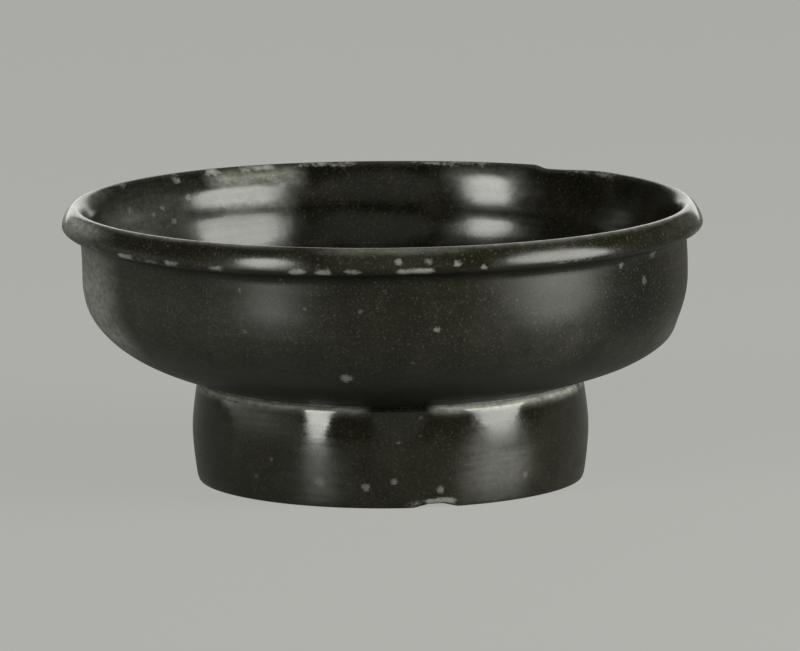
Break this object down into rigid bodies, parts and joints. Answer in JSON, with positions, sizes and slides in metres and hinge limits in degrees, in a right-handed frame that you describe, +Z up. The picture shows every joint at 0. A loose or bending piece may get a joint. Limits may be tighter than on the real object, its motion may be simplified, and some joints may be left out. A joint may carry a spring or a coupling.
{
  "type": "footed bowl",
  "caption": "Round black-gloss pottery bowl with a turned-out rim, upright wall and a drum-shaped hollow foot, for serving or holding food.",
  "frame": {"origin": "centre of the ring that the foot rests on", "axes": "+Z up along the bowl's axis of turning; -Y faces the viewer of the picture and +X is to the right"},
  "size_m": [0.12, 0.12, 0.0519],
  "materials": {
    "clay": "fired bare, dull",
    "slip": "fired bare, dull",
    "gloss": "soft black gloss, worn at the edges"
  },
  "bodies": {
    "root": {"bowl_body": "clay", "foot_ring": "clay", "luting_slip": "slip", "inside_coat": "gloss", "outside_coat": "gloss", "foot_coat": "gloss"}
  },
  "joints": []
}
